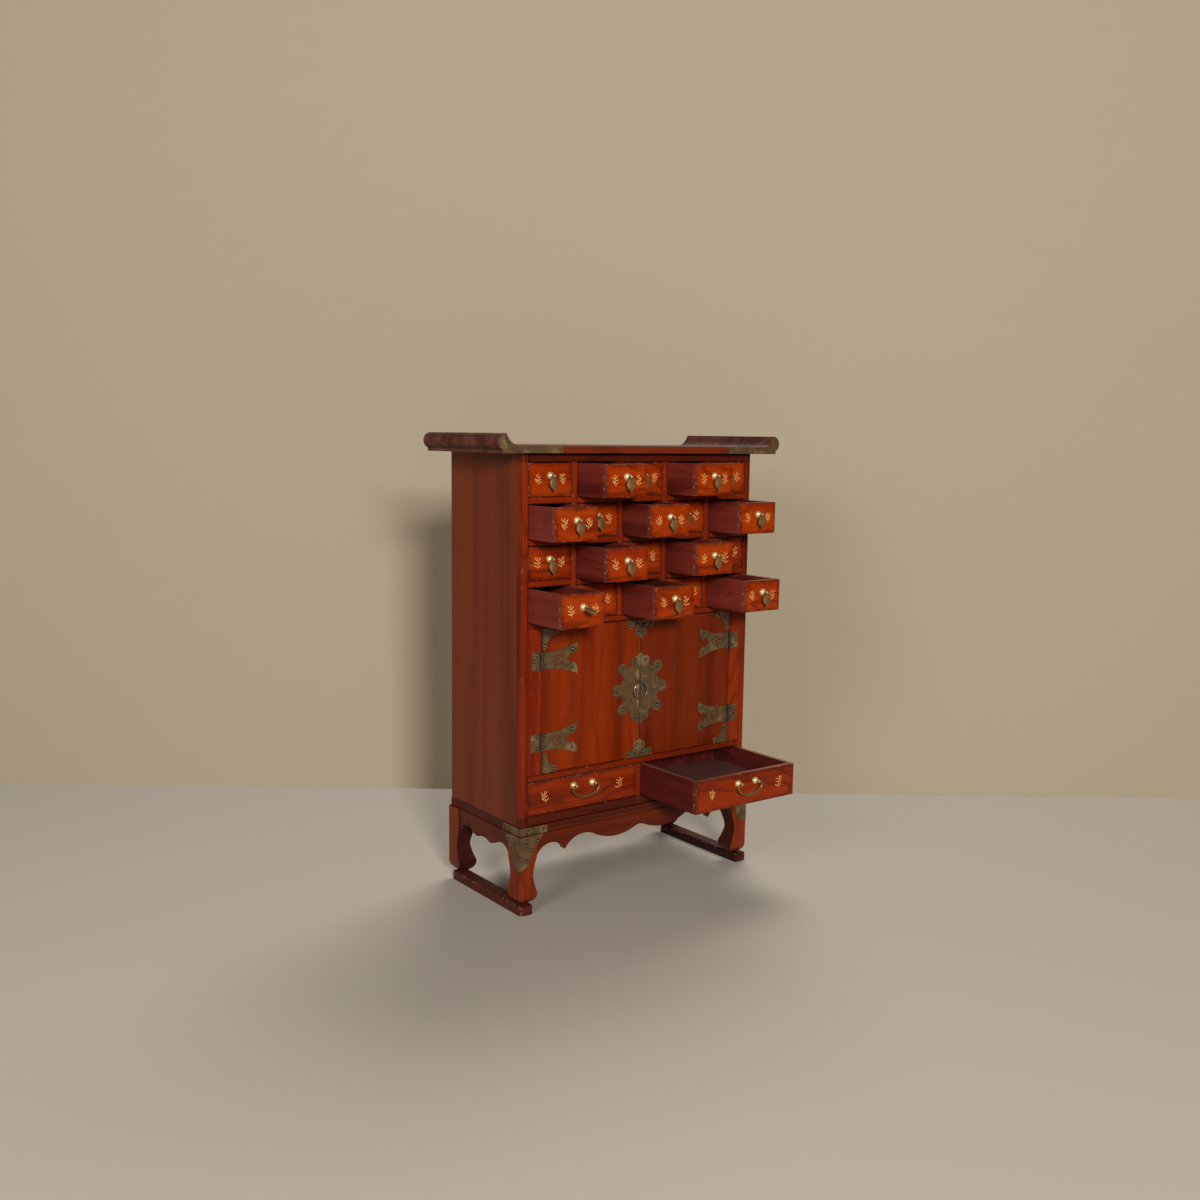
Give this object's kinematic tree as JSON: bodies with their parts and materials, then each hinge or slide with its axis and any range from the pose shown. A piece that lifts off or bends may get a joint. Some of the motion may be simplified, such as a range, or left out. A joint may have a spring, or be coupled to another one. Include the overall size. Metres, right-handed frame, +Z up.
{
  "type": "apothecary chest",
  "caption": "Tall wooden medicine chest with rows of small drawers, a two-door cupboard with brass plates, long lower drawers, an upturned top and a low footed stand.",
  "frame": {"origin": "on the floor, under the middle of the carcass", "axes": "+Z up, -Y to the front with the doors and drawers, +X to the right as seen from the front"},
  "size_m": [0.574, 0.3666, 0.756],
  "materials": {
    "front_wood": "varnished",
    "drawer_wood": "varnished",
    "side_wood": "varnished",
    "inner_wood": "stained",
    "top_wood": "varnished",
    "stand_wood": "varnished",
    "aged_brass": "aged",
    "bright_brass": "polished",
    "ring_steel": "worn"
  },
  "bodies": {
    "carcass": {"side_panels": "side_wood", "back_panel": "side_wood", "carcass_boards": "inner_wood", "face_frame": "front_wood", "drawer_grid": "front_wood", "top_board": "top_wood", "top_end_plates": "aged_brass", "stand_frame": "stand_wood", "stand_runners": "stand_wood", "stand_corner_plates": "aged_brass", "frame_hinge_leaves": "aged_brass"},
    "drawer_r1c1": {"drawer_r1c1": "drawer_wood"},
    "pendant_r1c1": {"pendant_r1c1": "bright_brass"},
    "drawer_r1c2": {"drawer_r1c2": "drawer_wood"},
    "pendant_r1c2": {"pendant_r1c2": "bright_brass"},
    "drawer_r1c3": {"drawer_r1c3": "drawer_wood"},
    "pendant_r1c3": {"pendant_r1c3": "bright_brass"},
    "drawer_r1c4": {"drawer_r1c4": "drawer_wood"},
    "pendant_r1c4": {"pendant_r1c4": "bright_brass"},
    "drawer_r1c5": {"drawer_r1c5": "drawer_wood"},
    "pendant_r1c5": {"pendant_r1c5": "bright_brass"},
    "drawer_r2c1": {"drawer_r2c1": "drawer_wood"},
    "pendant_r2c1": {"pendant_r2c1": "bright_brass"},
    "drawer_r2c2": {"drawer_r2c2": "drawer_wood"},
    "pendant_r2c2": {"pendant_r2c2": "bright_brass"},
    "drawer_r2c3": {"drawer_r2c3": "drawer_wood"},
    "pendant_r2c3": {"pendant_r2c3": "bright_brass"},
    "drawer_r2c4": {"drawer_r2c4": "drawer_wood"},
    "pendant_r2c4": {"pendant_r2c4": "bright_brass"},
    "drawer_r2c5": {"drawer_r2c5": "drawer_wood"},
    "pendant_r2c5": {"pendant_r2c5": "bright_brass"},
    "drawer_r3c1": {"drawer_r3c1": "drawer_wood"},
    "pendant_r3c1": {"pendant_r3c1": "bright_brass"},
    "drawer_r3c2": {"drawer_r3c2": "drawer_wood"},
    "pendant_r3c2": {"pendant_r3c2": "bright_brass"},
    "drawer_r3c3": {"drawer_r3c3": "drawer_wood"},
    "pendant_r3c3": {"pendant_r3c3": "bright_brass"},
    "drawer_r3c4": {"drawer_r3c4": "drawer_wood"},
    "pendant_r3c4": {"pendant_r3c4": "bright_brass"},
    "drawer_r3c5": {"drawer_r3c5": "drawer_wood"},
    "pendant_r3c5": {"pendant_r3c5": "bright_brass"},
    "drawer_r4c1": {"drawer_r4c1": "drawer_wood"},
    "pendant_r4c1": {"pendant_r4c1": "bright_brass"},
    "drawer_r4c2": {"drawer_r4c2": "drawer_wood"},
    "pendant_r4c2": {"pendant_r4c2": "bright_brass"},
    "drawer_r4c3": {"drawer_r4c3": "drawer_wood"},
    "pendant_r4c3": {"pendant_r4c3": "bright_brass"},
    "drawer_r4c4": {"drawer_r4c4": "drawer_wood"},
    "pendant_r4c4": {"pendant_r4c4": "bright_brass"},
    "drawer_r4c5": {"drawer_r4c5": "drawer_wood"},
    "pendant_r4c5": {"pendant_r4c5": "bright_brass"},
    "long_drawer_left": {"long_drawer_left": "drawer_wood"},
    "bail_left": {"bail_left": "bright_brass"},
    "long_drawer_right": {"long_drawer_right": "drawer_wood"},
    "bail_right": {"bail_right": "bright_brass"},
    "left_door": {"left_door": "front_wood", "left_door_brasses": "aged_brass"},
    "right_door": {"right_door": "front_wood", "right_door_brasses": "aged_brass"},
    "lock_ring": {"lock_ring": "ring_steel"}
  },
  "joints": [
    {"name": "drawer_r1c1_slide", "type": "slide", "parent": "carcass", "child": "drawer_r1c1", "axis": [0, -1, 0], "range_m": [0, 0.16]},
    {"name": "pendant_r1c1_swing", "type": "hinge", "parent": "drawer_r1c1", "child": "pendant_r1c1", "pos_m": [-0.1826, -0.1151, 0.69165], "axis": [-1, 0, 0], "range_deg": [-15, 100]},
    {"name": "drawer_r1c2_slide", "type": "slide", "parent": "carcass", "child": "drawer_r1c2", "axis": [0, -1, 0], "range_m": [-0.075, 0.085]},
    {"name": "pendant_r1c2_swing", "type": "hinge", "parent": "drawer_r1c2", "child": "pendant_r1c2", "pos_m": [-0.0913, -0.1901, 0.69165], "axis": [-1, 0, 0], "range_deg": [-15, 100]},
    {"name": "drawer_r1c3_slide", "type": "slide", "parent": "carcass", "child": "drawer_r1c3", "axis": [0, -1, 0], "range_m": [0, 0.16]},
    {"name": "pendant_r1c3_swing", "type": "hinge", "parent": "drawer_r1c3", "child": "pendant_r1c3", "pos_m": [0, -0.1151, 0.69165], "axis": [-1, 0, 0], "range_deg": [-15, 100]},
    {"name": "drawer_r1c4_slide", "type": "slide", "parent": "carcass", "child": "drawer_r1c4", "axis": [0, -1, 0], "range_m": [-0.071, 0.089]},
    {"name": "pendant_r1c4_swing", "type": "hinge", "parent": "drawer_r1c4", "child": "pendant_r1c4", "pos_m": [0.0913, -0.1861, 0.69165], "axis": [-1, 0, 0], "range_deg": [-15, 100]},
    {"name": "drawer_r1c5_slide", "type": "slide", "parent": "carcass", "child": "drawer_r1c5", "axis": [0, -1, 0], "range_m": [0, 0.16]},
    {"name": "pendant_r1c5_swing", "type": "hinge", "parent": "drawer_r1c5", "child": "pendant_r1c5", "pos_m": [0.1826, -0.1151, 0.69165], "axis": [-1, 0, 0], "range_deg": [-15, 100]},
    {"name": "drawer_r2c1_slide", "type": "slide", "parent": "carcass", "child": "drawer_r2c1", "axis": [0, -1, 0], "range_m": [-0.072, 0.088]},
    {"name": "pendant_r2c1_swing", "type": "hinge", "parent": "drawer_r2c1", "child": "pendant_r2c1", "pos_m": [-0.1826, -0.1871, 0.62725], "axis": [-1, 0, 0], "range_deg": [-15, 100]},
    {"name": "drawer_r2c2_slide", "type": "slide", "parent": "carcass", "child": "drawer_r2c2", "axis": [0, -1, 0], "range_m": [0, 0.16]},
    {"name": "pendant_r2c2_swing", "type": "hinge", "parent": "drawer_r2c2", "child": "pendant_r2c2", "pos_m": [-0.0913, -0.1151, 0.62725], "axis": [-1, 0, 0], "range_deg": [-15, 100]},
    {"name": "drawer_r2c3_slide", "type": "slide", "parent": "carcass", "child": "drawer_r2c3", "axis": [0, -1, 0], "range_m": [-0.071, 0.089]},
    {"name": "pendant_r2c3_swing", "type": "hinge", "parent": "drawer_r2c3", "child": "pendant_r2c3", "pos_m": [0, -0.1861, 0.62725], "axis": [-1, 0, 0], "range_deg": [-15, 100]},
    {"name": "drawer_r2c4_slide", "type": "slide", "parent": "carcass", "child": "drawer_r2c4", "axis": [0, -1, 0], "range_m": [0, 0.16]},
    {"name": "pendant_r2c4_swing", "type": "hinge", "parent": "drawer_r2c4", "child": "pendant_r2c4", "pos_m": [0.0913, -0.1151, 0.62725], "axis": [-1, 0, 0], "range_deg": [-15, 100]},
    {"name": "drawer_r2c5_slide", "type": "slide", "parent": "carcass", "child": "drawer_r2c5", "axis": [0, -1, 0], "range_m": [-0.079, 0.081]},
    {"name": "pendant_r2c5_swing", "type": "hinge", "parent": "drawer_r2c5", "child": "pendant_r2c5", "pos_m": [0.1826, -0.1941, 0.62725], "axis": [-1, 0, 0], "range_deg": [-15, 100]},
    {"name": "drawer_r3c1_slide", "type": "slide", "parent": "carcass", "child": "drawer_r3c1", "axis": [0, -1, 0], "range_m": [0, 0.16]},
    {"name": "pendant_r3c1_swing", "type": "hinge", "parent": "drawer_r3c1", "child": "pendant_r3c1", "pos_m": [-0.1826, -0.1151, 0.56285], "axis": [-1, 0, 0], "range_deg": [-15, 100]},
    {"name": "drawer_r3c2_slide", "type": "slide", "parent": "carcass", "child": "drawer_r3c2", "axis": [0, -1, 0], "range_m": [-0.08, 0.08]},
    {"name": "pendant_r3c2_swing", "type": "hinge", "parent": "drawer_r3c2", "child": "pendant_r3c2", "pos_m": [-0.0913, -0.1951, 0.56285], "axis": [-1, 0, 0], "range_deg": [-15, 100]},
    {"name": "drawer_r3c3_slide", "type": "slide", "parent": "carcass", "child": "drawer_r3c3", "axis": [0, -1, 0], "range_m": [0, 0.16]},
    {"name": "pendant_r3c3_swing", "type": "hinge", "parent": "drawer_r3c3", "child": "pendant_r3c3", "pos_m": [0, -0.1151, 0.56285], "axis": [-1, 0, 0], "range_deg": [-15, 100]},
    {"name": "drawer_r3c4_slide", "type": "slide", "parent": "carcass", "child": "drawer_r3c4", "axis": [0, -1, 0], "range_m": [-0.076, 0.084]},
    {"name": "pendant_r3c4_swing", "type": "hinge", "parent": "drawer_r3c4", "child": "pendant_r3c4", "pos_m": [0.0913, -0.1911, 0.56285], "axis": [-1, 0, 0], "range_deg": [-15, 100]},
    {"name": "drawer_r3c5_slide", "type": "slide", "parent": "carcass", "child": "drawer_r3c5", "axis": [0, -1, 0], "range_m": [0, 0.16]},
    {"name": "pendant_r3c5_swing", "type": "hinge", "parent": "drawer_r3c5", "child": "pendant_r3c5", "pos_m": [0.1826, -0.1151, 0.56285], "axis": [-1, 0, 0], "range_deg": [-15, 100]},
    {"name": "drawer_r4c1_slide", "type": "slide", "parent": "carcass", "child": "drawer_r4c1", "axis": [0, -1, 0], "range_m": [-0.091, 0.069]},
    {"name": "pendant_r4c1_swing", "type": "hinge", "parent": "drawer_r4c1", "child": "pendant_r4c1", "pos_m": [-0.1826, -0.2061, 0.49845], "axis": [-1, 0, 0], "range_deg": [-87, 28]},
    {"name": "drawer_r4c2_slide", "type": "slide", "parent": "carcass", "child": "drawer_r4c2", "axis": [0, -1, 0], "range_m": [0, 0.16]},
    {"name": "pendant_r4c2_swing", "type": "hinge", "parent": "drawer_r4c2", "child": "pendant_r4c2", "pos_m": [-0.0913, -0.1151, 0.49845], "axis": [-1, 0, 0], "range_deg": [-15, 100]},
    {"name": "drawer_r4c3_slide", "type": "slide", "parent": "carcass", "child": "drawer_r4c3", "axis": [0, -1, 0], "range_m": [-0.087, 0.073]},
    {"name": "pendant_r4c3_swing", "type": "hinge", "parent": "drawer_r4c3", "child": "pendant_r4c3", "pos_m": [0, -0.2021, 0.49845], "axis": [-1, 0, 0], "range_deg": [-15, 100]},
    {"name": "drawer_r4c4_slide", "type": "slide", "parent": "carcass", "child": "drawer_r4c4", "axis": [0, -1, 0], "range_m": [0, 0.16]},
    {"name": "pendant_r4c4_swing", "type": "hinge", "parent": "drawer_r4c4", "child": "pendant_r4c4", "pos_m": [0.0913, -0.1151, 0.49845], "axis": [-1, 0, 0], "range_deg": [-15, 100]},
    {"name": "drawer_r4c5_slide", "type": "slide", "parent": "carcass", "child": "drawer_r4c5", "axis": [0, -1, 0], "range_m": [-0.095, 0.065]},
    {"name": "pendant_r4c5_swing", "type": "hinge", "parent": "drawer_r4c5", "child": "pendant_r4c5", "pos_m": [0.1826, -0.2101, 0.49845], "axis": [-1, 0, 0], "range_deg": [-15, 100]},
    {"name": "long_drawer_left_slide", "type": "slide", "parent": "carcass", "child": "long_drawer_left", "axis": [0, -1, 0], "range_m": [0, 0.165]},
    {"name": "bail_left_swing", "type": "hinge", "parent": "long_drawer_left", "child": "bail_left", "pos_m": [-0.11413, -0.1151, 0.19405], "axis": [-1, 0, 0], "range_deg": [-18, 100]},
    {"name": "long_drawer_right_slide", "type": "slide", "parent": "carcass", "child": "long_drawer_right", "axis": [0, -1, 0], "range_m": [-0.142, 0.023]},
    {"name": "bail_right_swing", "type": "hinge", "parent": "long_drawer_right", "child": "bail_right", "pos_m": [0.11413, -0.2571, 0.19405], "axis": [-1, 0, 0], "range_deg": [-18, 100]},
    {"name": "left_door_hinge", "type": "hinge", "parent": "carcass", "child": "left_door", "pos_m": [-0.19735, -0.1081, 0.3385], "axis": [0, 0, -1], "range_deg": [0, 150]},
    {"name": "right_door_hinge", "type": "hinge", "parent": "carcass", "child": "right_door", "pos_m": [0.19735, -0.1081, 0.3385], "axis": [0, 0, 1], "range_deg": [0, 150]},
    {"name": "lock_ring_swing", "type": "hinge", "parent": "left_door", "child": "lock_ring", "pos_m": [-0.0046, -0.1144, 0.3511], "axis": [-1, 0, 0], "range_deg": [-8, 100]}
  ]
}
